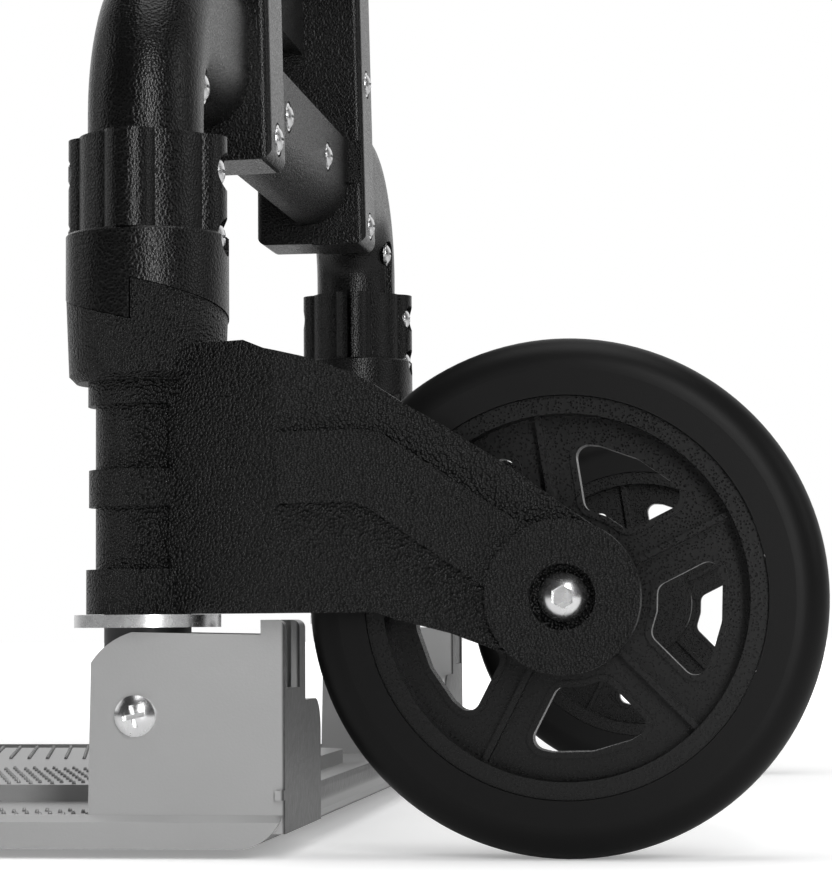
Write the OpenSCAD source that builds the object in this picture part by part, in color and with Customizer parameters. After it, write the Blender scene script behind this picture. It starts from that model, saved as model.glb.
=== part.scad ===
// Folding hand truck with a fold-up toe plate, turning wheel brackets and a two-stage handle.
// X runs across the truck (+X is its left side), +Y to the rear, Z up, and the floor is at z = 0.

/* [Stance] */
// Distance between the centre lines of the two posts
post_spacing = 350; // [346:1:372]
// Height of the pivot screws of the toe plate
pivot_z = 35; // [34:0.5:36]

/* [Posts] */
// Outside diameter of a post tube
post_d = 22; // [21:0.1:22.2]
// Wall of a post tube
post_wall = 1.6; // [1:0.1:3]
// Height of a post's open foot
post_foot_z = 25; // [23:0.5:27]

/* [Collars] */
// Outside diameter of the clamp collar, the cam ring and the bracket's head
collar_d = 41.4; // [40.6:0.1:43]
// Height of the clamp collar's upper rim
collar_top_z = 181; // [176:0.5:190]
// Height of the seam between clamp collar and cam ring
collar_seam_z = 156.2; // [155.2:0.1:157]
// Diameter of the clamp collar between its lobes
collar_base_d = 34.8; // [34:0.1:36]
// Radius of a lobe
lobe_r = 7; // [6:0.1:8]

/* [Cam] */
// Highest point of the cam edge
cam_peak_z = 143.5; // [142:0.5:145]
// Height of each upright step of the cam, which falls by as much over a third of a turn
cam_step = 10.2; // [9.5:0.1:11]

/* [Fold springs] */
// Wire diameter of a fold spring
spring_wire = 1.8; // [1.2:0.1:2]
// Turns of a fold spring
spring_turns = 6; // [4:1:7]

/* [Wheel brackets] */
// Height of a bracket's lower end
bracket_foot_z = 60.1; // [60:0.1:61]
// Height of the lower rim of the bracket's head
head_foot_z = 118.3; // [116:0.1:119.5]
// Diameter of the bracket's sleeve between its rings
sleeve_d = 26.2; // [25.6:0.1:28]
// Diameter of the sleeve's rings
ring_d = 30.2; // [28.5:0.1:31]
// Thickness of the arm's plate
arm_t = 5.5; // [4.5:0.1:6.5]
// Height of the raised band on the arm's face
band_h = 1.2; // [0.5:0.1:2]
// Diameter of the boss round the axle
boss_d = 37.4; // [34:0.1:38]
// How far the boss stands out of the arm's plate
boss_h = 2; // [1:0.1:3]

/* [Wheels] */
// Outside diameter of a tyre
wheel_d = 127; // [124:0.5:129]
// Width of a tyre
tyre_w = 24; // [20:0.5:24.4]
// Height of the tyre's section, from the rim to the tread
tyre_h = 14.5; // [12:0.5:16]
// Thickness of the rim's web
web_t = 5; // [3:0.5:7]
// Spokes of the rim, each a thin rib, with a window between each two
rib_count = 5; // [4:1:6]
// How far the axle lies behind the posts
axle_back = 106.8; // [106:0.1:109]
// How far a wheel's middle lies outboard of its post
wheel_out = 5; // [4.5:0.1:6]
// Diameter of the axle bolts
axle_d = 8; // [7:0.5:9]

/* [Toe plate] */
// Depth of the toe plate from its rear face to its front lip
toe_depth = 279; // [240:1:300]
// Height of the deck's upper face
deck_z = 8.6; // [8:0.1:9]
// Thickness of the deck
deck_t = 2.5; // [2:0.1:3]
// Height of the side rim's inner ridge
rim_z = 10.8; // [10:0.1:11.4]
// Height of the raised plateau's upper face
plateau_z = 13.2; // [12:0.1:13.4]
// Width of the raised plateau
plateau_w = 216; // [180:2:230]
// Thickness of a lug's two ears and rear wall
ear_t = 2.2; // [1.8:0.1:2.4]
// Diameter of the pivot screws
pivot_d = 6; // [5:0.1:7]

/* [Frame] */
// Clear width between the two rails
rail_gap = 152; // [140:1:156]
// Width of a rail
rail_w = 25; // [24.6:0.1:28]
// Depth of a rail at its lower end
rail_d = 38.2; // [37.4:0.1:40]
// Lean of a rail's rear face, in degrees
rail_lean = 1.2; // [0.8:0.05:1.3]
// Wall of the moulded shells
shell_wall = 2.5; // [2:0.1:2.8]
// Height of a rail's lower end
rail_foot_z = 188; // [186:0.5:192]
// Height of a rail's upper end
rail_top_z = 578; // [560:1:600]
// Outside diameter of the moulded shoulder
shoulder_d = 29.4; // [29:0.1:29.8]
// Bend radius of the shoulder's upper side
shoulder_r = 40; // [38:0.5:42]
// Bend radius of the shoulder's lower side
underside_r = 25; // [22:0.5:28]
// Height of the lower crossbar's lower edge
crossbar_z = 194.8; // [193:0.1:197]
// Height of the lower crossbar
crossbar_h = 28.9; // [26:0.1:34]
// Height of the centre panel's lower edge
panel_z = 254.5; // [245:0.5:260]
// Height of the centre panel
panel_h = 90.5; // [60:0.5:120]
// Height of the top crossbar
top_bar_h = 40; // [30:1:60]

/* [Handle] */
// Outside diameter of the lower tubes
lower_tube_d = 19; // [18.6:0.1:19.2]
// Outside diameter of the upper tubes
upper_tube_d = 16; // [14:0.1:16.1]
// Wall of the telescoping tubes
tube_wall = 1.2; // [0.8:0.1:1.3]
// Travel of each stage of the handle
stage_travel = 178; // [140:1:180]
// Length of a lower tube that stays held in its rail
lower_overlap = 90; // [85:1:100]
// Length of an upper tube that stays held in the lower one
upper_overlap = 60; // [55:1:70]
// Height of the handle's grip
grip_h = 30; // [28:1:36]
// Travel of the release button
button_travel = 5; // [3:0.5:6]

/* [Hidden] */

black_plastic = [0.06, 0.06, 0.065];
black_rubber = [0.035, 0.035, 0.035];
black_paint = [0.05, 0.05, 0.055];
cast_grey = [0.62, 0.63, 0.64];
zinc = [0.8, 0.8, 0.8];
nylon = [0.85, 0.85, 0.82];
steel_tube = [0.7, 0.71, 0.72];

// Clearances
run_gap = 0.08;      // a shaft in its bore
fit_gap = 0.05;      // a shank, spigot or shell in its own seat
part_gap = 0.3;      // two bodies that pass each other
cut = 1;             // how far a cutter runs past what it cuts

post_x = post_spacing / 2;
post_r = post_d / 2;
collar_r = collar_d / 2;
shoulder_bore_r = post_r + fit_gap;
bore_r = post_r + run_gap;

// A quarter turn of a bracket, and the fall of the cam edge for each degree of it
fold_angle = 90;
lobe_angle = 120;
cam_fall = cam_step / lobe_angle;
fold_drop = cam_fall * fold_angle;
cam_low_z = cam_peak_z - cam_step;
cam_gap = part_gap;
cam_stop_angle = 1;
cam_turns = [0, lobe_angle, 2 * lobe_angle];
spring_mean_r = post_r + 2.4;
spring_room_r = spring_mean_r + spring_wire / 2 + 1;
spring_roof_z = collar_seam_z - 4;
spring_floor_z = head_foot_z + 4;

// The washer between the lugs and a bracket
washer_t = 3.2;
washer_r = 18.5;
washer_gap = 0.1;
washer_z = bracket_foot_z - washer_gap - washer_t;

wheel_r = wheel_d / 2;
rim_d = wheel_d - 2 * tyre_h;
wheel_x = post_x + wheel_out;
arm_x0 = wheel_out + 12 + 1;
arm_x1 = arm_x0 + arm_t;
hub_r = 13;
bush_r = axle_d / 2 + 2;
bush_len = 8;
axle_r = axle_d / 2;
thrust_t = 0.7;
hub_half = tyre_w / 2;
nut_af = 13;
nut_h = 6.8;
cap_r = 19;

// A lug of the toe plate, from its outer ear to its inner ear
ear_out_x = post_x + 13.6;
ear_in_x = post_x - 16;
toe_half_w = post_x + 15.5;
toe_rear_y = 37.5;
toe_front_y = toe_rear_y - toe_depth;
toe_corner_r = 12;
rim_low_z = 2.4;
rim_t = 2.5;
lug_top_z = 58.5;
ear_front_y = -11.3;
ear_top_z = 55.75;
lift_height = washer_z - part_gap - pivot_z;
lift_fall = fold_drop * 2 / PI;

rail_in_x = rail_gap / 2;
rail_out_x = rail_in_x + rail_w;
rail_x = rail_in_x + rail_w / 2;
rail_rear_y = 18.2;
rail_front_y = rail_rear_y - rail_d;
rail_corner_r = 2.6;
shoulder_y = -0.5;
shoulder_turn = 1.8;
shoulder_gap = 0.5;   // how far the lower bend's bar starts inside the upper one's
spigot_r = shoulder_d / 2 - 0.2;
bend_z = collar_top_z + 5.5;
shoulder_foot_z = collar_seam_z + 2;
collar_floor_z = collar_seam_z + 1.6;

tube_y = rail_front_y + shell_wall + lower_tube_d / 2 + 3;
bush_h = 12;
bush_top_z = rail_top_z + bush_h;
lower_top_z = bush_top_z + stage_travel;
lower_foot_z = rail_top_z - lower_overlap;
collar_h = 12;
upper_collar_z = lower_top_z + collar_h;
upper_foot_z = lower_top_z - upper_overlap;
grip_z0 = upper_collar_z + stage_travel;
grip_z1 = grip_z0 + grip_h;
grip_d = 30;
grip_half_w = rail_x + 16;
upper_top_z = grip_z0 + 12;
snap_z = 22;
snap_d = 6;
leaf_top_z = 28;
leaf_t = 0.8;
button_w = 36;
button_proud = 3;

$fn = 48;

// Places its children on the truck's left side, or mirrored onto its right
module on_side(side) {
    if (side == "left") children();
    else mirror([1, 0, 0]) children();
}

// Rounded rectangle about its own centre
module rounded_rect(w, d, r) {
    square([w - 2 * r, d], center = true);
    square([w, d - 2 * r], center = true);
    for (x = [-1, 1], y = [-1, 1])
        translate([x * (w / 2 - r), y * (d / 2 - r)]) circle(r);
}

// A disc or tube whose axis runs along X, from x = 0
module along_x(r, h) {
    rotate([0, 90, 0]) cylinder(r = r, h = h);
}

// Extrudes an outline drawn in Y and Z along +X, from x = 0
module extrude_x(h) {
    rotate([90, 0, 90]) linear_extrude(h) children();
}

// A revolved outline, drawn as radius and distance along X, about the X axis
module revolve_x() {
    rotate([0, 90, 0]) rotate_extrude() children();
}

// A screw whose head rests at z = 0 and whose shank runs to z = -length; flange_d is its washer
// face's diameter
module pan_screw(shank_d, length, head_d, head_h, flange_d) {
    difference() {
        union() {
            translate([0, 0, -length]) cylinder(d = shank_d, h = length + 0.01);
            cylinder(d = flange_d, h = head_h * 0.3);
            intersection() {
                cylinder(d = head_d, h = head_h);
                translate([0, 0, head_h - head_d * 0.72]) sphere(r = head_d * 0.72);
            }
        }
        for (a = [0, 90])
            rotate([0, 0, a])
                translate([-head_d * 0.27, -head_d * 0.06, head_h * 0.3])
                    cube([head_d * 0.54, head_d * 0.12, head_h]);
    }
}

// A nut of the given width across flats, standing on z = 0
module hex_nut(across_flats, h, bore_d) {
    difference() {
        rotate([0, 0, 30]) cylinder(d = across_flats / cos(30), h = h, $fn = 6);
        translate([0, 0, -cut]) cylinder(d = bore_d, h = h + 2 * cut);
    }
}

// Height of the cam edge at an angle from +X towards +Y; it repeats every third of a turn
function cam_z(a) = cam_peak_z - cam_fall * a;

// A third of a ring between the cam edge and a flat level, one lobe of the cam
module cam_lobe(level, shift, turn) {
    steps = 24;
    r0 = spring_room_r - 2;
    r1 = collar_r + 2;
    ring = [for (i = [0 : steps]) let (a = lobe_angle * i / steps)
        for (p = [[r0, 0], [r1, 0], [r1, 1], [r0, 1]])
            [p[0] * cos(a + turn), p[0] * sin(a + turn), p[1] == 0 ? level : cam_z(a) + shift]];
    flip = level > cam_peak_z;
    quads = [for (i = [0 : steps - 1], k = [0 : 3])
        let (n = (k + 1) % 4, a = 4 * i + k, b = 4 * i + n, c = b + 4, d = a + 4)
        flip ? [d, c, b, a] : [a, b, c, d]];
    last = 4 * steps;
    ends = flip
        ? [[0, 1, 2, 3], [last + 3, last + 2, last + 1, last]]
        : [[3, 2, 1, 0], [last, last + 1, last + 2, last + 3]];
    tris = [for (q = concat(quads, ends)) each [[q[0], q[1], q[2]], [q[0], q[2], q[3]]]];
    polyhedron(ring, tris);
}

// A coil spring about the Z axis between two heights
module coil_spring(mean_r, wire_d, turns, z0, z1) {
    sides = 6;
    per_turn = 12;
    count = turns * per_turn;
    rise = z1 - z0 - wire_d;
    points = [for (i = [0 : count], s = [0 : sides - 1])
        let (a = 360 * i / per_turn, b = 360 * s / sides, r = mean_r + wire_d / 2 * cos(b))
        [r * cos(a), r * sin(a), z0 + wire_d / 2 + rise * i / count + wire_d / 2 * sin(b)]];
    sides_faces = [for (i = [0 : count - 1], s = [0 : sides - 1])
        let (a = i * sides + s, b = i * sides + (s + 1) % sides)
        each [[a, b, b + sides], [a, b + sides, a + sides]]];
    first = [for (s = [1 : sides - 2]) [0, s + 1, s]];
    last = [for (s = [1 : sides - 2]) [count * sides, count * sides + s, count * sides + s + 1]];
    polyhedron(points, concat(sides_faces, first, last));
}

// Outline of an ear in Y and Z: its front corner follows the washer down as the plate folds
module ear_outline() {
    lift = [for (t = [90 : -5 : 0])
        let (h = lift_height - lift_fall * t * PI / 180)
        [-h * sin(t) + lift_fall * cos(t), pivot_z + h * cos(t) + lift_fall * sin(t)]];
    intersection() {
        polygon(concat(lift,
            [[toe_rear_y, pivot_z + lift_height], [toe_rear_y, rim_low_z],
             [-lift_height, rim_low_z]]));
        union() {
            polygon([[ear_front_y - 0.8, deck_z - deck_t], [ear_front_y, ear_top_z - 8],
                [ear_front_y, ear_top_z], [-5, ear_top_z], [toe_rear_y - 5, ear_top_z - 0.9],
                [toe_rear_y, ear_top_z - 0.9], [toe_rear_y, deck_z - deck_t]]);
        }
    }
    lug_wall_outline(6);
}

// Side view of a lug's rear wall, w thick, whose upper rear edge is round
module lug_wall_outline(w) {
    r = 2;
    foot_z = deck_z - deck_t;
    intersection() {
        translate([toe_rear_y - w, foot_z]) square([w, lug_top_z]);
        union() {
            translate([toe_rear_y - w, foot_z]) square([w, lug_top_z - foot_z - r]);
            translate([toe_rear_y - w - r, foot_z]) square([w, lug_top_z - foot_z]);
            translate([toe_rear_y - r, lug_top_z - r]) circle(r);
        }
    }
}

// One lug: two ears, the slotted rear wall and its low flank
module lug() {
    wall_y = toe_rear_y - ear_t;
    slot_x = post_x - 7.6;
    slot_w = 18.4;
    slot_z = 41.5;
    flank_w = 23;
    flank_z = 38;
    for (x = [ear_in_x, ear_out_x - ear_t])
        translate([x, 0, 0]) extrude_x(ear_t) ear_outline();
    difference() {
        translate([ear_in_x, 0, 0]) extrude_x(ear_out_x - ear_in_x) lug_wall_outline(ear_t);
        translate([slot_x, wall_y - cut, slot_z])
            cube([slot_w, ear_t + 2 * cut, lug_top_z - slot_z + cut]);
    }
    flank_r = 8;
    translate([ear_in_x - flank_w, wall_y, deck_z - deck_t])
        cube([flank_w, ear_t, flank_z - flank_r - deck_z + deck_t]);
    translate([ear_in_x - flank_w + flank_r, wall_y, flank_z - flank_r])
        cube([flank_w - flank_r, ear_t, flank_r]);
    intersection() {
        translate([ear_in_x - flank_w + flank_r, toe_rear_y, flank_z - flank_r])
            rotate([90, 0, 0]) cylinder(r = flank_r, h = ear_t);
        translate([ear_in_x - flank_w, wall_y - cut, flank_z - flank_r])
            cube([flank_r, ear_t + 2 * cut, flank_r]);
    }
}

// Side view of the toe plate's rim: low along the side, rising to the rear wall, with a round heel
module rim_outline() {
    rise_y = 19;
    heel_z = 17;
    intersection() {
        polygon([[toe_front_y + 14, rim_low_z], [toe_rear_y, rim_low_z], [toe_rear_y, heel_z],
            [rise_y, rim_z], [toe_front_y + 14, rim_z]]);
        union() {
            translate([toe_front_y, 0]) square([toe_depth - toe_corner_r, 40]);
            translate([toe_front_y, rim_low_z + toe_corner_r]) square([toe_depth, 40]);
            translate([toe_rear_y - toe_corner_r, rim_low_z + toe_corner_r]) circle(toe_corner_r);
        }
    }
}

// Side view of the thin front lip, which meets the floor
module lip_outline() {
    polygon([[toe_front_y + 1.5, 0], [toe_front_y + 30, 0], [toe_front_y + 30, deck_z],
        [toe_front_y + 16, deck_z], [toe_front_y, 2.2], [toe_front_y, 1]]);
}

module toe_plate() {
    inner_w = 2 * (toe_half_w - rim_t);
    plateau_front = toe_front_y + 34;
    plateau_rear = 6;
    plateau_len = plateau_rear - plateau_front;
    plateau_mid = (plateau_rear + plateau_front) / 2;
    rib_t = 4;
    rib_step = toe_half_w * 0.4;
    color(cast_grey) difference() {
        union() {
            // deck
            translate([-inner_w / 2, toe_front_y + 14, deck_z - deck_t])
                cube([inner_w, toe_rear_y - toe_front_y - 14 - 2, deck_t]);
            // side rims, with the outer edge sloped
            for (side = ["left", "right"]) on_side(side) intersection() {
                translate([toe_half_w - rim_t, 0, 0]) extrude_x(rim_t) rim_outline();
                rotate([90, 0, 0]) translate([0, 0, -toe_rear_y - cut])
                    linear_extrude(toe_depth + 2 * cut)
                        polygon([[0, 0], [toe_half_w, 0], [toe_half_w, rim_z - 1.8],
                            [toe_half_w - 2, rim_z], [toe_half_w - 2, 40], [0, 40]]);
            }
            for (side = ["left", "right"]) on_side(side)
                translate([toe_half_w - rim_t, toe_rear_y - ear_t, rim_low_z + toe_corner_r])
                    cube([rim_t, ear_t, rim_z - rim_low_z - toe_corner_r + 6]);
            // rear rim
            translate([-toe_half_w + rim_t, 0, 0]) extrude_x(inner_w) intersection() {
                rim_outline();
                difference() {
                    translate([0, -cut]) square([toe_rear_y, 16 + cut]);
                    translate([-cut, deck_z]) square([toe_rear_y - ear_t + cut, 40]);
                    translate([-cut, -cut])
                        square([toe_rear_y - toe_corner_r + cut, deck_z - deck_t + cut]);
                    translate([toe_rear_y - toe_corner_r, rim_low_z + toe_corner_r])
                        circle(toe_corner_r - ear_t);
                }
            }
            // front lip
            translate([-toe_half_w, 0, 0]) extrude_x(2 * toe_half_w) lip_outline();
            // raised plateau, hollow below
            translate([0, plateau_mid, deck_z - deck_t])
                linear_extrude(plateau_z - deck_z + deck_t)
                    rounded_rect(plateau_w, plateau_len, 12);
            // ribs under the deck, which stand on the floor
            for (x = [-2 : 2])
                translate([x * rib_step - rib_t / 2, toe_front_y + 20, 0])
                    cube([rib_t, toe_depth - 20 - toe_corner_r - 4, deck_z - 0.5]);
            for (side = ["left", "right"]) on_side(side) lug();
        }
        // hollow of the plateau between the ribs
        difference() {
            translate([0, plateau_mid, -cut])
                linear_extrude(plateau_z - deck_t + cut)
                    rounded_rect(plateau_w - 2 * deck_t, plateau_len - 2 * deck_t, 12 - deck_t);
            for (x = [-1 : 1])
                translate([x * rib_step - rib_t / 2, toe_front_y, -2 * cut])
                    cube([rib_t, toe_depth, plateau_z + 3 * cut]);
        }
        for (side = ["left", "right"]) on_side(side)
            translate([ear_in_x - cut, 0, pivot_z])
                along_x(pivot_d / 2 + fit_gap, ear_out_x - ear_in_x + 2 * cut);
    }
}

module toe_pivot_screws() {
    color(zinc) for (side = ["left", "right"]) on_side(side)
        translate([ear_out_x, 0, pivot_z])
            rotate([0, 90, 0]) rotate([0, 0, 12])
                pan_screw(pivot_d, ear_out_x - ear_in_x + 6, 10.3, 3, 10.3);
}

module toe_pivot_nuts() {
    color(zinc) for (side = ["left", "right"]) on_side(side)
        translate([ear_in_x - 5, 0, pivot_z])
            rotate([0, 90, 0]) hex_nut(10, 5, pivot_d + 2 * fit_gap);
}

// Bush that fills the space between a post and its lug's inner ear
module toe_pivot_spacers() {
    gap = post_x - post_r - ear_in_x - ear_t;
    color(nylon) for (side = ["left", "right"]) on_side(side)
        translate([ear_in_x + ear_t, 0, pivot_z]) difference() {
            along_x(pivot_d / 2 + 2.4, gap - part_gap);
            translate([-cut, 0, 0]) along_x(pivot_d / 2 + fit_gap, gap + 2 * cut);
        }
}

module post(side) {
    color(black_paint) on_side(side) difference() {
        translate([post_x, 0, post_foot_z]) cylinder(r = post_r, h = collar_top_z - post_foot_z);
        translate([post_x, 0, post_foot_z - cut])
            cylinder(r = post_r - post_wall, h = collar_top_z - post_foot_z + 2 * cut);
        translate([post_x - post_r - cut, 0, pivot_z])
            along_x(pivot_d / 2 + run_gap, post_d + 2 * cut);
        for (z = collar_screw_heights)
            translate([post_x, post_r + cut, z])
                rotate([90, 0, 0]) cylinder(d = collar_screw_d + 2 * fit_gap, h = post_d + 2 * cut);
    }
}

collar_screw_d = 3.5;
collar_screw_heights = [collar_seam_z + 16, collar_seam_z - 0.7];
collar_flat_y = collar_r - 2.9;
collar_nut_h = 2.4;
collar_nut_y = collar_r - 0.8 - collar_nut_h;
collar_nut_room = 8.2;
screw_d = 3.5;
screw_head_d = 7;
screw_head_h = 2.4;
screw_flange_d = 8.6;
screw_room = 1.2;
shoulder_screw_x = post_x - 9;
shoulder_screw_z = collar_top_z + 14.9;
shoulder_screw_len = 24;
rail_screw_heights = [rail_foot_z + 7.4, rail_foot_z + 57.5, rail_foot_z + 105];

// Half a disc, on the outer or the inner side of a bend
module half_disc(r, outer) {
    intersection() {
        circle(r);
        translate([outer ? 0 : -r, -r]) square([r, 2 * r]);
    }
}

// The outer or inner half of a round bar that rises from the collar and bends over to the rail
module half_bar(r, bend, foot, reach, outer) {
    translate([0, 0, -foot]) linear_extrude(foot) half_disc(r, outer);
    translate([-bend, 0, 0]) rotate([90, 0, 0])
        rotate_extrude(angle = 90) translate([bend, 0]) half_disc(r, outer);
    translate([-bend, 0, bend]) rotate([0, -90, 0])
        linear_extrude(reach - bend) half_disc(r, outer);
}

// Side view of what lies inside a bar's centre line
module inside_bend(bend, foot, reach) {
    translate([-bend, 0]) intersection() {
        circle(bend);
        square(bend);
    }
    translate([-reach, -foot]) square([reach, foot]);
    translate([-reach, 0]) square([reach - bend, bend]);
}

// The shoulder from the collar to the rail: half a bar above, half a bar below, and a wall between
module shoulder_form(grow, turn) {
    r = shoulder_d / 2 - grow;
    foot = bend_z - collar_top_z;
    reach = post_x - rail_out_x + (grow > 0 ? shell_wall + 2 : 2);
    translate([post_x, shoulder_y, bend_z]) rotate([0, 0, turn]) {
        half_bar(r, shoulder_r, foot, reach, true);
        translate([-shoulder_gap, 0, 0]) half_bar(r, underside_r, foot, reach - shoulder_gap, false);
        rotate([90, 0, 0]) translate([0, 0, -r]) linear_extrude(2 * r) difference() {
            inside_bend(shoulder_r, foot, reach);
            translate([-shoulder_gap, 0]) inside_bend(underside_r, foot + cut, reach);
        }
    }
}

// The moulded side member, rail and shoulder as one solid, before it is halved
module side_member(grow, lean, turn) {
    corner_r = 4;
    translate([0, rail_rear_y, rail_foot_z]) rotate([lean, 0, 0]) intersection() {
        translate([rail_x, -rail_d / 2, grow])
            linear_extrude(rail_top_z - rail_foot_z + (grow > 0 ? 10 : 0))
                rounded_rect(rail_w - 2 * grow, rail_d - 2 * grow, max(rail_corner_r - grow, 0.5));
        // its lower corners are round
        if (grow == 0)
            translate([rail_in_x - cut, 0, 0]) extrude_x(rail_w + 2 * cut) {
                for (y = [corner_r - rail_d - 0.1, 0.1 - corner_r])
                    translate([y, corner_r - 0.1]) circle(corner_r);
                translate([-rail_d - cut, corner_r - 0.1])
                    square([rail_d + 2 * cut, rail_top_z - rail_foot_z]);
                translate([corner_r - rail_d, -0.1]) square([rail_d - 2 * corner_r, 2 * corner_r]);
            }
    }
    shoulder_form(grow, turn);
}

// Bosses inside the shells, which the shell screws pass through
module shell_bosses() {
    for (z = rail_screw_heights) {
        rear_y = rail_seat_y(z) - 1;
        translate([rail_x, rear_y, z]) rotate([90, 0, 0]) cylinder(d = 9, h = rear_y - rail_front_y - 1);
    }
}

// Screw holes of one side member, with a flat seat for each head
module shell_screw_holes() {
    for (z = rail_screw_heights) {
        seat_y = rail_seat_y(z);
        translate([rail_x, seat_y, z]) rotate([90, 0, 0])
            cylinder(d = screw_d + 2 * fit_gap, h = screw_len + 1);
        translate([rail_x, seat_y + 4, z]) rotate([90, 0, 0])
            cylinder(d = screw_flange_d + screw_room, h = 4);
    }
    seat_r = (screw_flange_d + screw_room) / 2;
    translate([shoulder_screw_x, shoulder_seat_y, shoulder_screw_z]) rotate([90, 0, 0])
        cylinder(d = screw_d + 2 * fit_gap, h = shoulder_screw_len + 1);
    // the shoulder screw's seat runs down to the collar
    translate([shoulder_screw_x, shoulder_seat_y + 6, shoulder_screw_z]) rotate([90, 0, 0])
        cylinder(r = seat_r, h = 6);
    translate([shoulder_screw_x - seat_r, shoulder_seat_y, collar_top_z])
        cube([2 * seat_r, 6, shoulder_screw_z - collar_top_z]);
}

function rail_seat_y(z) = rail_rear_y - (z - rail_foot_z) * tan(rail_lean) - 0.8;
screw_len = 28;
shoulder_seat_y = shoulder_y + shoulder_d / 2 - 2.3;

module side_shell(side, half) {
    front = half == "front";
    lean = front ? 0 : rail_lean;
    turn = front ? -shoulder_turn : shoulder_turn;
    color(black_plastic) on_side(side) difference() {
        intersection() {
            union() {
                difference() {
                    side_member(0, lean, turn);
                    side_member(shell_wall, lean, turn);
                }
                shell_bosses();
                translate([post_x, shoulder_y, shoulder_foot_z])
                    cylinder(r = spigot_r, h = collar_top_z - shoulder_foot_z + 1);
                // solid core of the shoulder where its screw passes, and behind the seat
                intersection() {
                    shoulder_form(0.2, turn);
                    union() {
                        translate([shoulder_screw_x, shoulder_d, shoulder_screw_z]) rotate([90, 0, 0])
                            cylinder(d = screw_flange_d + 4, h = 2 * shoulder_d);
                        translate([shoulder_screw_x - 7, 6, collar_top_z])
                            cube([14, shoulder_d, shoulder_screw_z - collar_top_z]);
                    }
                }
            }
            translate([0, front ? shoulder_y - 100 : shoulder_y, 0])
                cube([post_x + 60, 100, rail_top_z + 30]);
        }
        translate([post_x, 0, shoulder_foot_z - cut])
            cylinder(r = shoulder_bore_r, h = collar_top_z - shoulder_foot_z + cut);
        translate([post_x, 50, collar_screw_heights[0]]) rotate([90, 0, 0])
            cylinder(d = collar_screw_d + 2 * fit_gap, h = 100);
        // pocket that the lower snap button snaps into
        translate([rail_x, tube_y, lower_foot_z + snap_z])
            along_x(snap_d / 2 + part_gap, rail_w / 2 - shell_wall / 2);
        shell_screw_holes();
    }
}

// Side view of the lower crossbar, with its round lower rear edge, less its wall
module crossbar_side(wall) {
    y0 = crossbar_front_y - (wall > 0 ? cut : 0);
    y1 = crossbar_rear_y - wall;
    z0 = crossbar_z + wall;
    z1 = crossbar_z + crossbar_h - wall;
    r = crossbar_edge_r - wall;
    intersection() {
        translate([y0, z0]) square([y1 - y0, z1 - z0]);
        union() {
            translate([y0, z0 - cut]) square([y1 - y0 - r, z1 - z0 + cut]);
            translate([y0, z0 + r]) square([y1 - y0 + cut, z1 - z0]);
            translate([y1 - r, z0 + r]) circle(r);
        }
    }
}

// A concave fillet of radius r between a face on y = 0, which it runs into, and one on x = 0
module fillet_outline(r) {
    difference() {
        translate([0, -0.5]) square([r, r + 0.5]);
        translate([r, r]) circle(r);
    }
}

module lower_crossbar() {
    wall = 2.6;
    web_t = 1.6;
    top_fillet = 8;
    rear_fillet = 5;
    depth = crossbar_rear_y - crossbar_front_y;
    top_z = crossbar_z + crossbar_h;
    color(black_plastic) difference() {
        union() {
            difference() {
                translate([-rail_in_x, 0, 0]) extrude_x(rail_gap) crossbar_side(0);
                // open towards the front
                translate([wall - rail_in_x, 0, 0]) extrude_x(rail_gap - 2 * wall) crossbar_side(wall);
            }
            // a web along its middle and a boss for each screw
            intersection() {
                translate([-rail_in_x, 0, 0]) extrude_x(rail_gap) crossbar_side(0.5);
                union() {
                    translate([-rail_in_x + 1, crossbar_front_y, crossbar_screw_z - web_t / 2])
                        cube([rail_gap - 2, depth - 1, web_t]);
                    for (x = crossbar_screw_x)
                        translate([x, crossbar_rear_y - 1, crossbar_screw_z]) rotate([90, 0, 0])
                            cylinder(d = 9, h = depth - 1);
                }
            }
            // fillets to the rails above it and behind it
            for (side = ["left", "right"]) on_side(side) {
                translate([rail_in_x, crossbar_rear_y - 0.5, top_z]) rotate([90, 0, 0])
                    linear_extrude(depth - 1) mirror([1, 0]) fillet_outline(top_fillet);
                translate([rail_in_x, crossbar_rear_y, crossbar_z + crossbar_edge_r])
                    linear_extrude(crossbar_h - crossbar_edge_r)
                        mirror([1, 0]) fillet_outline(rear_fillet);
            }
        }
        for (x = crossbar_screw_x)
            translate([x, crossbar_seat_y, crossbar_screw_z]) rotate([90, 0, 0]) {
                cylinder(d = screw_d + 2 * fit_gap, h = crossbar_screw_len + 0.5);
                translate([0, 0, -4]) cylinder(d = screw_flange_d + screw_room, h = 4);
            }
    }
}

crossbar_edge_r = 14;
crossbar_front_y = -5;
crossbar_rear_y = 11.8;
crossbar_screw_x = [-36.5, 36.5];
crossbar_screw_z = crossbar_z + 16.8;
crossbar_seat_y = crossbar_rear_y - 0.9;
crossbar_screw_len = 8;

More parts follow.
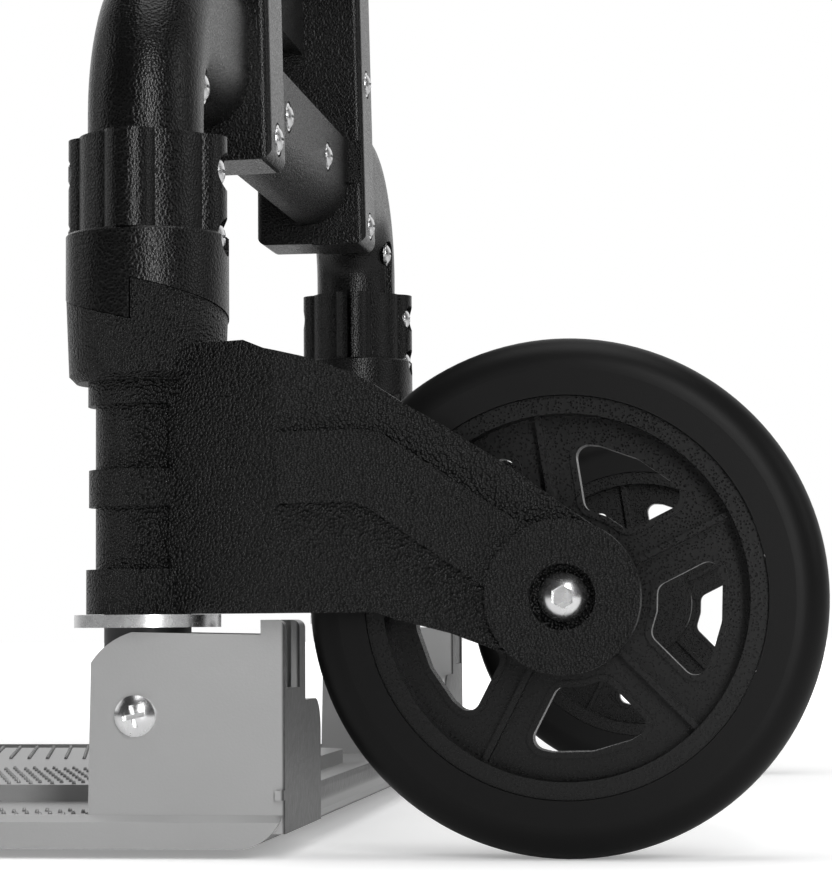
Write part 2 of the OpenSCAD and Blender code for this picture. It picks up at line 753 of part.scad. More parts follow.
module centre_panel() {
    z0 = panel_z;
    z1 = panel_z + panel_h;
    y1 = -3.4;
    wall = 2.6;
    fillet = 5;
    color(black_plastic) difference() {
        union() {
            translate([-rail_in_x, rail_front_y + 0.5, z0])
                cube([rail_gap, y1 - rail_front_y - 0.5, z1 - z0]);
            // fillets below its lower edge
            for (side = [-1, 1])
                translate([0, y1, 0]) rotate([90, 0, 0]) linear_extrude(y1 - rail_front_y - 0.5)
                    difference() {
                        translate([side * (rail_in_x - fillet / 2), z0 - fillet / 2 + 0.5])
                            square([fillet, fillet + 1], center = true);
                        translate([side * (rail_in_x - fillet), z0 - fillet]) circle(fillet);
                    }
        }
        // open pockets on the front face, between three upright webs
        for (x = [-1, 0, 1])
            translate([x * (rail_gap - 4 * wall) / 3 + x * wall - (rail_gap - 4 * wall) / 6,
                    rail_front_y - cut, z0 + wall + 4])
                cube([(rail_gap - 4 * wall) / 3 - wall / 2, 4 + cut, z1 - z0 - 2 * wall - 8]);
    }
}

module top_crossbar() {
    z0 = rail_top_z - top_bar_h;
    y1 = rail_rear_y - (rail_top_z - rail_foot_z) * tan(rail_lean) - 0.6;
    wall = 2.8;
    color(black_plastic) difference() {
        translate([-rail_in_x, rail_front_y + 0.5, z0])
            cube([rail_gap, y1 - rail_front_y - 0.5, rail_top_z - z0]);
        translate([-rail_in_x + wall, rail_front_y + 0.5 + wall, z0 - cut])
            cube([rail_gap - 2 * wall, y1 - rail_front_y - 0.5 - 2 * wall, rail_top_z - z0 - wall + cut]);
    }
}

module shell_screws() {
    color(zinc) for (side = ["left", "right"]) on_side(side) {
        for (z = rail_screw_heights)
            translate([rail_x, rail_seat_y(z), z]) rotate([-90, 0, 0])
                pan_screw(screw_d, screw_len, screw_head_d, screw_head_h, screw_flange_d);
        translate([shoulder_screw_x, shoulder_seat_y, shoulder_screw_z]) rotate([-90, 0, 0])
            pan_screw(screw_d, shoulder_screw_len, screw_head_d, screw_head_h, screw_flange_d);
    }
}

module crossbar_screws() {
    color(zinc) for (x = crossbar_screw_x)
        translate([x, crossbar_seat_y, crossbar_screw_z]) rotate([-90, 0, 0])
            pan_screw(screw_d, crossbar_screw_len, screw_head_d, screw_head_h, screw_flange_d);
}

// Seat and hole of one collar screw, from the rear, and of its nut at the front
module collar_screw_cut(z) {
    translate([post_x, 50, z]) rotate([90, 0, 0])
        cylinder(d = collar_screw_d + 2 * fit_gap, h = 100);
    translate([post_x, collar_flat_y, z]) rotate([-90, 0, 0])
        cylinder(d = screw_flange_d + screw_room, h = 5);
    translate([post_x, -collar_nut_y, z]) rotate([90, 0, 0]) cylinder(d = collar_nut_room, h = 5);
}

module clamp_collar(side) {
    lobe_turn = -3;
    collar_h = collar_top_z - collar_seam_z;
    color(black_plastic) on_side(side) difference() {
        translate([post_x, 0, collar_seam_z]) linear_extrude(collar_h) {
            circle(d = collar_base_d);
            for (a = [0, 90, 180, 270])
                rotate(a + lobe_turn) translate([collar_r - lobe_r, 0]) circle(lobe_r);
        }
        translate([post_x, 0, collar_seam_z - cut]) cylinder(r = bore_r, h = 10);
        translate([post_x, shoulder_y, collar_floor_z])
            cylinder(r = spigot_r + fit_gap, h = collar_top_z - collar_floor_z + cut);
        for (z = collar_screw_heights) collar_screw_cut(z);
        // saw cut at the inboard side, so that the collar can clamp
        translate([post_x - collar_r - cut, -0.8, collar_seam_z - cut])
            cube([collar_r - shoulder_d / 2 + 2 * cut, 1.6, collar_top_z - collar_seam_z + 2 * cut]);
    }
}

module cam_ring(side) {
    edge = 0.6;
    color(black_plastic) on_side(side) difference() {
        translate([post_x, 0, cam_low_z - 2]) {
            cylinder(r = collar_r, h = collar_seam_z - cam_low_z + 2 - edge);
            cylinder(r = collar_r - edge, h = collar_seam_z - cam_low_z + 2);
            translate([0, 0, collar_seam_z - cam_low_z + 2 - edge])
                cylinder(r1 = collar_r, r2 = collar_r - edge, h = edge);
        }
        translate([post_x, 0, cam_low_z - 3]) cylinder(r = shoulder_bore_r, h = 40);
        translate([post_x, 0, cam_low_z - 3]) cylinder(r = spring_room_r, h = spring_roof_z - cam_low_z + 3);
        for (turn = cam_turns)
            translate([post_x, 0, 0]) cam_lobe(cam_low_z - 5, 0, turn);
        collar_screw_cut(collar_screw_heights[1]);
    }
}

module collar_screws() {
    color(zinc) for (side = ["left", "right"], z = collar_screw_heights) on_side(side)
        translate([post_x, collar_flat_y, z]) rotate([-90, 0, 0])
            pan_screw(collar_screw_d, collar_flat_y + collar_nut_y + collar_nut_h, screw_head_d,
                screw_head_h, screw_flange_d);
}

module collar_nuts() {
    color(zinc) for (side = ["left", "right"], z = collar_screw_heights) on_side(side)
        translate([post_x, -collar_nut_y, z]) rotate([90, 0, 0])
            hex_nut(6.6, collar_nut_h, collar_screw_d + 2 * fit_gap);
}

module fold_spring(side) {
    color(zinc) on_side(side) translate([post_x, 0, 0])
        coil_spring(spring_mean_r, spring_wire, spring_turns, spring_floor_z + 0.1, spring_roof_z - 0.1);
}

module lift_washer(side) {
    color(zinc) on_side(side) translate([post_x, 0, washer_z]) difference() {
        cylinder(r = washer_r, h = washer_t);
        translate([0, 0, -cut]) cylinder(r = bore_r, h = washer_t + 2 * cut);
    }
}

// Side view of the wheel arm in Y and Z, without its boss
module arm_outline() {
    polygon([[0, bracket_foot_z], [61.5, bracket_foot_z], [66.5, 58.4], [79.7, 55], [94, 49.6],
        [axle_back - 5, wheel_r - boss_d / 2 + 0.8], [axle_back + 8, wheel_r + boss_d / 2 - 2],
        [axle_back, wheel_r + boss_d / 2 + 3.5], [96.9, 93.1], [77.6, 105.6], [67.9, 111.1],
        [61.1, 115.6], [55.7, 118.4], [46.3, 122], [34, 124.9], [28.5, 127.2], [0, 126.9]]);
}

// Raised band along the arm's outer face, from its root to the boss
module band_outline() {
    polygon([[37.5, 86.6], [56, 87], [60, 85.4], [axle_back - 18, wheel_r + 2], [axle_back, wheel_r],
        [axle_back - 8.6, wheel_r + 16.8], [63.2, 103.4], [59.5, 104.4], [37.5, 104]]);
}

module wheel_bracket(side) {
    head_chamfer = 1.8;
    head_taper = 0.9;
    rings = [[bracket_foot_z, 71.3, ring_d + 0.8], [87, 96.3, ring_d - 0.6], [112.5, head_foot_z + 1, ring_d - 0.2]];
    color(black_plastic) on_side(side) difference() {
        union() {
            translate([post_x, 0, bracket_foot_z]) cylinder(d = sleeve_d, h = head_foot_z - bracket_foot_z + 1);
            for (ring = rings)
                translate([post_x, 0, ring[0]]) cylinder(d = ring[2], h = ring[1] - ring[0]);
            translate([post_x, 0, head_foot_z])
                cylinder(r1 = collar_r - head_taper - head_chamfer, r2 = collar_r - head_taper, h = head_chamfer);
            translate([post_x, 0, head_foot_z + head_chamfer])
                cylinder(r1 = collar_r - head_taper, r2 = collar_r, h = cam_peak_z - head_foot_z - head_chamfer);
            // arm, cut to its plan: a root behind the sleeve, flaring out to the flat plate
            intersection() {
                translate([post_x - 20, 0, 0]) extrude_x(60) arm_outline();
                translate([post_x, 0, 0]) linear_extrude(200) polygon([
                    [-10, 8], [-11.5, 16], [1, 30], [13, 37], [arm_x0, 42], [arm_x0, axle_back + 40],
                    [arm_x1, axle_back + 40], [arm_x1, 37], [14, 14.5], [11.5, 8]]);
            }
            translate([post_x + arm_x1 - 1, 0, 0]) extrude_x(band_h + 1) band_outline();
            translate([post_x + arm_x0, axle_back, wheel_r]) along_x(boss_d / 2, arm_t + boss_h);
        }
        translate([post_x, 0, bracket_foot_z - cut]) cylinder(r = bore_r, h = 100);
        translate([post_x, 0, spring_floor_z]) cylinder(r = spring_room_r, h = 40);
        for (turn = cam_turns)
            translate([post_x, 0, 0]) cam_lobe(cam_peak_z + 5, -cam_gap, turn + cam_stop_angle);
        translate([post_x, axle_back, wheel_r]) along_x(axle_r + fit_gap, 60);
        translate([post_x + arm_x1 + boss_h - bolt_recess, axle_back, wheel_r]) along_x(8, 20);
    }
}

bolt_recess = 4;
bolt_head_h = 3.6;

module axle_bolt(side) {
    seat_x = post_x + arm_x1 + boss_h - bolt_recess;
    nut_x = wheel_x - hub_half - nut_h - 0.2;
    color(zinc) on_side(side) translate([seat_x, axle_back, wheel_r]) rotate([0, 90, 0]) difference() {
        union() {
            translate([0, 0, nut_x - 2 - seat_x]) cylinder(r = axle_r, h = seat_x - nut_x + 2.01);
            intersection() {
                cylinder(r = 5.9, h = bolt_head_h);
                translate([0, 0, bolt_head_h - 8]) sphere(r = 8);
            }
        }
        translate([0, 0, bolt_head_h - 2.2]) cylinder(d = 5 / cos(30), h = 5, $fn = 6);
    }
}

module axle_nut(side) {
    color(zinc) on_side(side)
        translate([wheel_x - hub_half - nut_h - 0.2, axle_back, wheel_r])
            rotate([0, 90, 0]) hex_nut(nut_af, nut_h, axle_d + 2 * fit_gap);
}

module thrust_washer(side) {
    color(nylon) on_side(side)
        translate([wheel_x + hub_half + part_gap / 2, axle_back, wheel_r]) difference() {
            along_x(bush_r + 4, thrust_t);
            translate([-cut, 0, 0]) along_x(axle_r + fit_gap, thrust_t + 2 * cut);
        }
}

// One window of the rim, as an outline about the axle
module window_outline(grow) {
    outer_r = rim_d / 2 - 11;
    inner_r = 22;
    rib_side = 7.6;
    half = 180 / rib_count;
    offset(r = 3 + grow, $fn = 24) offset(delta = -3) intersection() {
        difference() {
            circle(outer_r);
            circle(inner_r);
        }
        rotate(half) translate([-60, -60 - rib_side]) square([120, 60]);
        rotate(-half) translate([-60, rib_side]) square([120, 60]);
    }
}

rib_angle = 26.7;

module wheel_rim(side) {
    rim_w = tyre_w - 3;
    rim_in_r = rim_d / 2 - 4.4;
    lip_w = 1.5;
    lip_h = 1;
    rib_t = 1.5;
    rib_h = 4;
    color(black_plastic) on_side(side) translate([wheel_x, axle_back, wheel_r]) rotate([rib_angle, 0, 0])
        rotate([90, 0, 90]) difference() {
            union() {
                // rim band and web
                rotate_extrude() {
                    translate([rim_in_r, -rim_w / 2]) square([rim_d / 2 - fit_gap - rim_in_r, rim_w]);
                    translate([hub_r - 1, -web_t / 2]) square([rim_in_r - hub_r + 2, web_t]);
                    translate([bush_r + fit_gap, -hub_half]) square([hub_r - bush_r, 2 * hub_half]);
                }
                for (i = [0 : rib_count - 1]) {
                    rotate(360 * i / rib_count)
                        translate([hub_r - 1, -rib_t / 2, -web_t / 2 - rib_h])
                            cube([rim_in_r - hub_r + 2, rib_t, web_t + 2 * rib_h]);
                    rotate(360 * (i + 0.5) / rib_count)
                        translate([0, 0, -web_t / 2 - lip_h]) linear_extrude(web_t + 2 * lip_h)
                            window_outline(lip_w);
                }
            }
            for (i = [0 : rib_count - 1])
                rotate(360 * (i + 0.5) / rib_count)
                    translate([0, 0, -20]) linear_extrude(40) window_outline(0);
            translate([0, 0, -hub_half - cut]) cylinder(r = bush_r + fit_gap, h = 2 * hub_half + 2 * cut);
        }
}

module tyre(side) {
    shoulder = 8;
    seat_r = rim_d / 2 + fit_gap;
    color(black_rubber) on_side(side) translate([wheel_x, axle_back, wheel_r]) revolve_x() intersection() {
        translate([wheel_r - 20, 0]) rounded_rect(40, tyre_w, shoulder);
        translate([seat_r, -tyre_w]) square([20, 2 * tyre_w]);
    }
}

// Two flanged bushes, one from each end of the hub
module hub_bushes(side) {
    color(nylon) on_side(side) translate([wheel_x, axle_back, wheel_r])
        for (x = [-hub_half, hub_half - bush_len])
            translate([x, 0, 0]) difference() {
                along_x(bush_r, bush_len);
                translate([-cut, 0, 0]) along_x(axle_r + run_gap, bush_len + 2 * cut);
            }
}

// Domed cap over the nut, on the wheel's inboard side
module hub_cap(side) {
    depth = nut_h + 5;
    wall = 2;
    color(black_plastic) on_side(side)
        translate([wheel_x - hub_half - depth, axle_back, wheel_r]) difference() {
            union() {
                along_x(cap_r - 1.5, depth);
                translate([1.5, 0, 0]) along_x(cap_r, depth - 1.5);
            }
            translate([wall, 0, 0]) along_x(cap_r - wall - 1, depth);
        }
}

module rail_bush(side) {
    spigot = 14;
    mouth_d = 2 * (rail_rear_y - tube_y - shell_wall) - 17.5;
    color(black_plastic) on_side(side) translate([rail_x, tube_y, rail_top_z]) difference() {
        union() {
            translate([0, (rail_front_y - tube_y + 11.4) / 2, 0])
                linear_extrude(bush_h) rounded_rect(rail_w, 11.4 + tube_y - rail_front_y, 3);
            translate([0, 0, -spigot]) linear_extrude(spigot + 1) rounded_rect(19.6, 23.4, 2);
        }
        translate([0, 0, -spigot - cut]) cylinder(d = lower_tube_d + 2 * run_gap, h = spigot + bush_h + 2 * cut);
    }
}

module lower_tube(side) {
    upper_snap_z = upper_foot_z + snap_z - lower_foot_z;
    color(steel_tube) on_side(side) translate([rail_x, tube_y, lower_foot_z]) difference() {
        cylinder(d = lower_tube_d, h = lower_top_z - lower_foot_z);
        translate([0, 0, -cut])
            cylinder(d = lower_tube_d - 2 * tube_wall, h = lower_top_z - lower_foot_z + 2 * cut);
        // its own snap button's hole, and the two holes that the upper one snaps into
        for (z = [snap_z, upper_snap_z, upper_snap_z - stage_travel])
            translate([0, 0, z]) along_x(snap_d / 2 + part_gap, lower_tube_d);
    }
}

module tube_collar(side) {
    color(black_plastic) on_side(side) translate([rail_x, tube_y, lower_top_z]) difference() {
        union() {
            cylinder(d = lower_tube_d + 4, h = collar_h - 2);
            translate([0, 0, collar_h - 2]) cylinder(d1 = lower_tube_d + 4, d2 = lower_tube_d + 1, h = 2);
        }
        translate([0, 0, -cut]) cylinder(d = upper_tube_d + 2 * run_gap, h = collar_h + 2 * cut);
    }
}

// End plug of a tube, with the slot that holds its snap button's leaf
module tube_plug(outer_d) {
    difference() {
        union() {
            translate([0, 0, -1.5]) cylinder(d = outer_d, h = 1.5);
            translate([0, 0, -1]) cylinder(d = outer_d - 2 * tube_wall - 2 * fit_gap, h = 12);
        }
        translate([-fit_gap, -3 - fit_gap, 3])
            cube([leaf_t + 2 * fit_gap, 6 + 2 * fit_gap, 10]);
    }
}

// Snap button on its spring leaf, held back flush with the tube's outside
module snap_button(outer_d) {
    translate([0, -3, 3]) cube([leaf_t, 6, leaf_top_z - 3]);
    translate([-4, -3, leaf_top_z - leaf_t]) cube([4 + leaf_t, 6, leaf_t]);
    translate([leaf_t / 2, 0, snap_z]) intersection() {
        along_x(snap_d / 2, outer_d / 2);
        translate([-leaf_t / 2, 0, -snap_d]) cylinder(d = outer_d - 0.2, h = 2 * snap_d);
    }
}

module lower_tube_plugs() {
    color(black_plastic) for (side = ["left", "right"]) on_side(side)
        translate([rail_x, tube_y, lower_foot_z]) tube_plug(lower_tube_d);
}

module lower_snap_buttons() {
    color(zinc) for (side = ["left", "right"]) on_side(side)
        translate([rail_x, tube_y, lower_foot_z]) snap_button(lower_tube_d);
}

module upper_tube(side) {
    color(steel_tube) on_side(side) translate([rail_x, tube_y, upper_foot_z]) difference() {
        cylinder(d = upper_tube_d, h = upper_top_z - upper_foot_z);
        translate([0, 0, -cut])
            cylinder(d = upper_tube_d - 2 * tube_wall, h = upper_top_z - upper_foot_z + 2 * cut);
        translate([0, 0, snap_z]) along_x(snap_d / 2 + part_gap, upper_tube_d);
    }
}

module upper_tube_plugs() {
    color(black_plastic) for (side = ["left", "right"]) on_side(side)
        translate([rail_x, tube_y, upper_foot_z]) tube_plug(upper_tube_d);
}

module upper_snap_buttons() {
    color(zinc) for (side = ["left", "right"]) on_side(side)
        translate([rail_x, tube_y, upper_foot_z]) snap_button(upper_tube_d);
}

// The handle's outer form, from end to end
module grip_form(grow) {
    translate([-grip_half_w + grow, tube_y, (grip_z0 + grip_z1) / 2]) rotate([90, 0, 90])
        linear_extrude(2 * grip_half_w - 2 * grow)
            rounded_rect(grip_d - 2 * grow, grip_h - 2 * grow, 11 - grow);
}

module handle_shell(half) {
    wall = 2.6;
    front = half == "front";
    color(black_plastic) difference() {
        intersection() {
            difference() {
                grip_form(0);
                grip_form(wall);
            }
            translate([-grip_half_w - cut, front ? -100 + tube_y : tube_y, grip_z0 - cut])
                cube([2 * grip_half_w + 2 * cut, 100, grip_h + 2 * cut]);
        }
        for (side = ["left", "right"]) on_side(side)
            translate([rail_x, tube_y, grip_z0 - cut]) cylinder(d = upper_tube_d + 2 * fit_gap, h = 12);
        translate([0, tube_y, grip_z1 - 10]) linear_extrude(20)
            rounded_rect(button_w + 2 * part_gap, 12 + 2 * part_gap, 5);
        // shallow seat of the grip pad
        translate([0, tube_y, 0]) pad_band(fit_gap);
    }
}

pad_half_w = 58;
pad_inner_w = 26;
pad_t = 1.5;

// Two sleeves' worth of space round the handle, one on each side of the button
module pad_band(extra) {
    for (side = ["left", "right"]) on_side(side)
        difference() {
            translate([pad_inner_w - extra, -grip_d, grip_z0 - cut])
                cube([pad_half_w - pad_inner_w + 2 * extra, 2 * grip_d, grip_h + 2 * cut]);
            translate([0, -tube_y, 0]) grip_form(pad_t + extra);
        }
}

module grip_pads() {
    color(black_rubber) intersection() {
        grip_form(0);
        translate([0, tube_y, 0]) pad_band(0);
    }
}

module release_button() {
    color(black_plastic) {
        translate([0, tube_y, grip_z1 - 9]) linear_extrude(9 + button_proud) rounded_rect(button_w, 12, 5);
        // yoke that reaches to both rods
        translate([-rail_x - 3, tube_y - 3, grip_z1 - 11]) cube([2 * rail_x + 6, 6, 4]);
        translate([0, tube_y, grip_z1 - 14]) cylinder(d = 5, h = 4);
    }
}

module release_rods() {
    foot_z = upper_foot_z + leaf_top_z + button_travel + part_gap;
    color(zinc) for (side = ["left", "right"]) on_side(side)
        translate([rail_x, tube_y, foot_z]) cylinder(d = 3, h = grip_z1 - 11 - foot_z);
}

module button_spring() {
    color(zinc) translate([0, tube_y, 0])
        coil_spring(4, 0.8, 5, grip_z0 + 2.8, grip_z1 - 11.1);
}

toe_plate();
toe_pivot_screws();
toe_pivot_nuts();
toe_pivot_spacers();
post("left");  // left_post
post("right");  // right_post
side_shell("left", "front");  // left_front_shell
side_shell("left", "rear");  // left_rear_shell
side_shell("right", "front");  // right_front_shell
side_shell("right", "rear");  // right_rear_shell
lower_crossbar();
centre_panel();
top_crossbar();
shell_screws();
crossbar_screws();
clamp_collar("left");  // left_clamp_collar
clamp_collar("right");  // right_clamp_collar
cam_ring("left");  // left_cam_ring
cam_ring("right");  // right_cam_ring
collar_screws();
collar_nuts();
fold_spring("left");  // left_fold_spring
fold_spring("right");  // right_fold_spring
lift_washer("left");  // left_lift_washer
lift_washer("right");  // right_lift_washer
wheel_bracket("left");  // left_wheel_bracket
wheel_bracket("right");  // right_wheel_bracket
axle_bolt("left");  // left_axle_bolt
axle_bolt("right");  // right_axle_bolt
axle_nut("left");  // left_axle_nut
axle_nut("right");  // right_axle_nut
thrust_washer("left");  // left_thrust_washer
thrust_washer("right");  // right_thrust_washer
wheel_rim("left");  // left_wheel_rim
wheel_rim("right");  // right_wheel_rim
tyre("left");  // left_tyre
tyre("right");  // right_tyre
hub_bushes("left");  // left_hub_bushes
hub_bushes("right");  // right_hub_bushes
hub_cap("left");  // left_hub_cap
hub_cap("right");  // right_hub_cap
rail_bush("left");  // left_rail_bush
rail_bush("right");  // right_rail_bush
lower_tube("left");  // left_lower_tube
lower_tube("right");  // right_lower_tube
tube_collar("left");  // left_tube_collar
tube_collar("right");  // right_tube_collar
lower_tube_plugs();
lower_snap_buttons();
upper_tube("left");  // left_upper_tube
upper_tube("right");  // right_upper_tube
upper_tube_plugs();
upper_snap_buttons();
handle_shell("front");  // handle_front_shell
handle_shell("rear");  // handle_rear_shell
grip_pads();
release_button();
release_rods();
button_spring();
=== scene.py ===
import math

import bmesh
import bpy
from mathutils import Matrix, Vector


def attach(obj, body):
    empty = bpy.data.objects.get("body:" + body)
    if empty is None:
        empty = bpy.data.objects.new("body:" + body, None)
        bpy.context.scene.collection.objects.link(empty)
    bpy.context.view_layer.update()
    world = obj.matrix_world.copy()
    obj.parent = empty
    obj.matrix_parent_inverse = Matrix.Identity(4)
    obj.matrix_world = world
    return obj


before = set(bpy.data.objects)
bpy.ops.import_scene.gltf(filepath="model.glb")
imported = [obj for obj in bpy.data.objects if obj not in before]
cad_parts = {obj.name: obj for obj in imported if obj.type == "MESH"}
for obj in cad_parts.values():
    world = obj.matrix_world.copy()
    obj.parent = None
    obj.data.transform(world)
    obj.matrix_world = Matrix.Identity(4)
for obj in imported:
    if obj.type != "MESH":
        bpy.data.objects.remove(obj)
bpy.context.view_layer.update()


# The view of the photograph: low beside the truck's left wheel, a little behind it, through a
# long lens. The picture is 832 by 887, so the sensor's 36 mm lie along its height.
view_from = Vector((0.85548, 0.15903, 0.05872))
view_turn = math.radians(-7.569)
view_rise = math.radians(3.631)
view_roll = math.radians(-0.391)
lens_px = 2748.41
picture_height_px = 887
sensor_mm = 36

ahead = Vector((
    -math.cos(view_turn) * math.cos(view_rise),
    math.sin(view_turn) * math.cos(view_rise),
    math.sin(view_rise),
))
level = ahead.cross(Vector((0, 0, 1))).normalized()
upward = level.cross(ahead)
rightward = math.cos(view_roll) * level + math.sin(view_roll) * upward
upward = rightward.cross(ahead)
lens = bpy.data.cameras.new("view")
lens.sensor_width = sensor_mm
lens.lens = lens_px * sensor_mm / picture_height_px
lens.clip_start = 0.01
lens.clip_end = 30
viewer = bpy.data.objects.new("view", lens)
viewer.matrix_world = Matrix((
    (rightward.x, upward.x, -ahead.x, view_from.x),
    (rightward.y, upward.y, -ahead.y, view_from.y),
    (rightward.z, upward.z, -ahead.z, view_from.z),
    (0, 0, 0, 1),
))
bpy.context.scene.collection.objects.link(viewer)
bpy.context.scene.camera = viewer
bpy.context.scene.view_settings.view_transform = "Standard"


# Soft studio light in a pale room: a broad panel overhead, an upright strip beside the camera's
# right shoulder, and panels behind and in front of the truck. Sizes in metres, power in watts.
def soft_lamp(name, place, aim, size, power):
    lamp = bpy.data.lights.new(name, "AREA")
    lamp.shape = "RECTANGLE"
    lamp.size = size[0]
    lamp.size_y = size[1]
    lamp.energy = power
    stand = bpy.data.objects.new(name, lamp)
    stand.location = place
    stand.rotation_euler = (Vector(aim) - Vector(place)).to_track_quat("-Z", "Y").to_euler()
    bpy.context.scene.collection.objects.link(stand)


soft_lamp("overhead", (0.2, 0.1, 1.9), (0, 0, 0.2), (1.2, 1.2), 13)
soft_lamp("strip", (1.35, 0.48, 0.55), (0.15, 0, 0.15), (0.18, 1.1), 11)
soft_lamp("rear", (0.3, 1.6, 0.8), (0.1, 0, 0.2), (0.6, 1.0), 4)
soft_lamp("front", (0.1, -1.6, 0.8), (0.1, 0, 0.2), (0.6, 1.0), 2.5)


# Floor and room: a seamless sweep of pale studio paper that keeps the truck's shadow near it and
# is lifted to white farther out, under a white room. Shiny pieces mirror the white backdrop on
# the far side of the truck and a dark studio on the camera's side.
class Socket:
    """An output of a material's node, so that shader maths reads as plain Python."""

    def __init__(self, tree, out):
        self.tree = tree
        self.out = out

    def maths(self, operation, *terms):
        made = self.tree.nodes.new("ShaderNodeMath")
        made.operation = operation
        for slot_in, term in zip(made.inputs, terms):
            wire(self.tree, slot_in, term)
        return Socket(self.tree, made.outputs[0])

    def __add__(self, other):
        return self.maths("ADD", self, other)

    __radd__ = __add__

    def __sub__(self, other):
        return self.maths("SUBTRACT", self, other)

    def __rsub__(self, other):
        return self.maths("SUBTRACT", other, self)

    def __mul__(self, other):
        return self.maths("MULTIPLY", self, other)

    __rmul__ = __mul__

    def power(self, exponent):
        return self.maths("POWER", self, exponent)

    def smooth(self, low, high):
        made = self.tree.nodes.new("ShaderNodeMapRange")
        made.interpolation_type = "SMOOTHSTEP"
        wire(self.tree, made.inputs["Value"], self)
        made.inputs["From Min"].default_value = low
        made.inputs["From Max"].default_value = high
        return Socket(self.tree, made.outputs["Result"])


def wire(tree, slot_in, value):
    if isinstance(value, Socket):
        tree.links.new(value.out, slot_in)
    elif value is not None:
        slot_in.default_value = value


class Finish:
    """A node material with one Principled shader."""

    def __init__(self, name):
        self.material = bpy.data.materials.new(name)
        self.material.use_nodes = True
        self.tree = self.material.node_tree
        self.shader = self.tree.nodes["Principled BSDF"]
        self.place = self.add("ShaderNodeTexCoord", out="Object")

    def add(self, kind, settings=None, out=0, **values):
        made = self.tree.nodes.new(kind)
        for key, value in (settings or {}).items():
            setattr(made, key, value)
        for key, value in values.items():
            wire(self.tree, made.inputs[key.replace("_", " ")], value)
        return Socket(self.tree, made.outputs[out])

    def noise(self, scale, detail=2.0, where=None):
        return self.add(
            "ShaderNodeTexNoise", Vector=where or self.place, Scale=scale, Detail=detail,
        )

    def cells(self, scale):
        return self.add(
            "ShaderNodeTexVoronoi", {"feature": "F1"}, out="Distance",
            Vector=self.place, Scale=scale,
        )

    def colours(self, share, first, second):
        made = self.tree.nodes.new("ShaderNodeMix")
        made.data_type = "RGBA"
        wire(self.tree, made.inputs["Factor"], share)
        for slot_in, value in ((made.inputs[6], first), (made.inputs[7], second)):
            wire(self.tree, slot_in, value if isinstance(value, Socket) else (*value, 1))
        return Socket(self.tree, made.outputs[2])

    def greys(self, share, first, second):
        return self.colours(share, [first] * 3, [second] * 3)

    def relief(self, height, strength, depth):
        made = self.tree.nodes.new("ShaderNodeBump")
        made.inputs["Strength"].default_value = strength
        made.inputs["Distance"].default_value = depth
        wire(self.tree, made.inputs["Height"], height)
        return Socket(self.tree, made.outputs[0])

    def axes(self):
        made = self.tree.nodes.new("ShaderNodeSeparateXYZ")
        wire(self.tree, made.inputs[0], self.place)
        return [Socket(self.tree, out) for out in made.outputs]

    def set(self, **values):
        for key, value in values.items():
            wire(self.tree, self.shader.inputs[key.replace("_", " ")], value)
        return self.material


floor_half = 6.0
shadow_reach = 0.35
white_from = 1.3
near_lift = 0.28
mesh = bmesh.new()
bmesh.ops.create_grid(mesh, x_segments=1, y_segments=1, size=floor_half)
floor_mesh = bpy.data.meshes.new("floor")
mesh.to_mesh(floor_mesh)
mesh.free()
floor = bpy.data.objects.new("floor", floor_mesh)
bpy.context.scene.collection.objects.link(floor)
paper = Finish("paper_floor")
paper_seen = paper.add("ShaderNodeLightPath", out="Is Camera Ray")
paper_tone = paper.noise(3.0).smooth(0.2, 0.8)
paper_x, paper_y = paper.axes()[:2]
paper_far = (paper_x * paper_x + paper_y * paper_y).power(0.5).smooth(shadow_reach, white_from)
paper.set(
    Base_Color=paper.greys(paper_tone, 0.86, 0.88),
    Roughness=0.9,
    Specular_IOR_Level=0.1,
    Emission_Color=paper.greys(paper_far, near_lift, 1),
    Emission_Strength=paper_seen,
)
floor_mesh.materials.append(paper.material)

room = bpy.data.worlds.new("room")
bpy.context.scene.world = room
room.use_nodes = True
room_tree = room.node_tree
room_light = room_tree.nodes["Background"]
ray = room_tree.nodes.new("ShaderNodeLightPath")
seen = Socket(room_tree, ray.outputs["Is Camera Ray"])
mirrored = Socket(room_tree, ray.outputs["Is Glossy Ray"])
heading = room_tree.nodes.new("ShaderNodeTexCoord")
compass = room_tree.nodes.new("ShaderNodeSeparateXYZ")
room_tree.links.new(heading.outputs["Generated"], compass.inputs[0])
far_side = -0.8
near_side = -0.2
backdrop = 1 - Socket(room_tree, compass.outputs[0]).smooth(far_side, near_side)
diffuse_light = 0.45
dark_studio = 0.03
bright_backdrop = 0.9
mirrored_light = dark_studio + bright_backdrop * backdrop
room_light.inputs["Color"].default_value = (1, 1, 1, 1)
wire(
    room_tree, room_light.inputs["Strength"],
    seen + (1 - seen) * (diffuse_light + mirrored * (mirrored_light - diffuse_light)),
)


# Side members, collars, brackets, crossbars and handle: black glass-filled nylon from a mould,
# with a pebble grain a little glossier on its crowns. The side members, collars and cam rings
# have the finer and smoother grain.
def finish_nodes(material, *names):
    for name in names:
        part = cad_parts[name].data
        part.materials.clear()
        part.materials.append(material)


def both(name):
    return [f"left_{name}", f"right_{name}"]


pebbles_per_metre = 1400
pebble_roundness = 1.6


def moulded_plastic(name, tone, grain, gloss):
    finish = Finish(name)
    pebble = finish.cells(pebbles_per_metre)
    height = 1 - pebble_roundness * pebble * pebble
    patch = finish.noise(26, 3.0)
    crown = height.smooth(0.6, 1.0)
    return finish.set(
        Base_Color=finish.greys(patch, 0.85 * tone, 1.15 * tone),
        Roughness=gloss + 0.1 * patch - 0.16 * crown,
        Specular_IOR_Level=0.25,
        Normal=finish.relief(height, 1.0, grain),
    )


